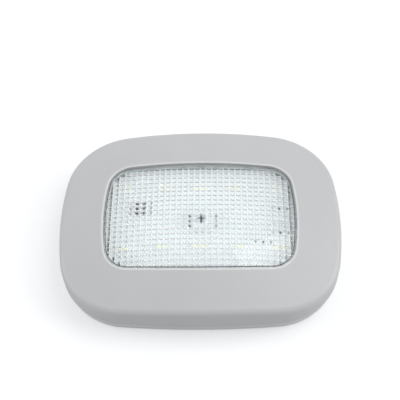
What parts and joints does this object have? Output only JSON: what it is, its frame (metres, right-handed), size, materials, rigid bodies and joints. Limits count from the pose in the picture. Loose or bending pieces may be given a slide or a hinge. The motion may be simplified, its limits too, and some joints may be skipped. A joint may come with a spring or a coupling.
{
  "type": "car interior light",
  "caption": "Low rounded press-on light with a clear prismatic lens that is its own push button, white lamps on a board behind it, a battery, a charging socket and magnets in its flat back.",
  "frame": {"origin": "middle of the flat back face", "axes": "+X along the long side, +Y along the short side towards the charging socket, +Z out of the back face through the lens"},
  "size_m": [0.105, 0.0794, 0.019],
  "materials": {
    "casing_grey": "fine satin moulded plastic",
    "lens_clear": "clear, polished outside, small prisms inside",
    "board_white": "white solder mask",
    "lamp_white": "white body with a pale yellow well",
    "chip_black": "moulded chip",
    "switch_black": "moulded",
    "steel": "thin sheet and screws",
    "battery_foil": "foil pouch",
    "pad_white": "sticky foam",
    "lead_red": "soft insulation",
    "lead_black": "soft insulation",
    "magnet_nickel": "nickel plated"
  },
  "bodies": {
    "case": {"bezel": "casing_grey", "back_cover": "casing_grey", "circuit_board": "board_white", "led_1": "lamp_white", "led_2": "lamp_white", "led_3": "lamp_white", "led_4": "lamp_white", "led_5": "lamp_white", "led_6": "lamp_white", "led_7": "lamp_white", "led_8": "lamp_white", "led_9": "lamp_white", "led_10": "lamp_white", "charge_chip": "chip_black", "resistor_1": "chip_black", "resistor_2": "chip_black", "resistor_3": "chip_black", "resistor_4": "chip_black", "switch_body": "switch_black", "switch_plate": "steel", "switch_dome": "steel", "charge_socket_shell": "steel", "charge_socket_tongue": "switch_black", "battery": "battery_foil", "battery_pad": "pad_white", "battery_lead_positive": "lead_red", "battery_lead_negative": "lead_black", "magnet_left": "magnet_nickel", "magnet_right": "magnet_nickel", "cover_screws": "steel", "board_screws": "steel"},
    "lens": {"lens": "lens_clear"},
    "plunger": {"switch_plunger": "switch_black"}
  },
  "joints": [
    {"name": "lens_press", "type": "slide", "parent": "case", "child": "lens", "axis": [0, 0, -1], "range_m": [0, 0.0005], "stiffness_N_per_m": 400, "springref_m": -0.003},
    {"name": "plunger_press", "type": "slide", "parent": "case", "child": "plunger", "axis": [0, 0, -1], "range_m": [0, 0.0005], "deforming": ["switch_dome"]}
  ],
  "couplings": [
    {"joint": "plunger_press", "follows": "lens_press", "ratio": 1}
  ]
}
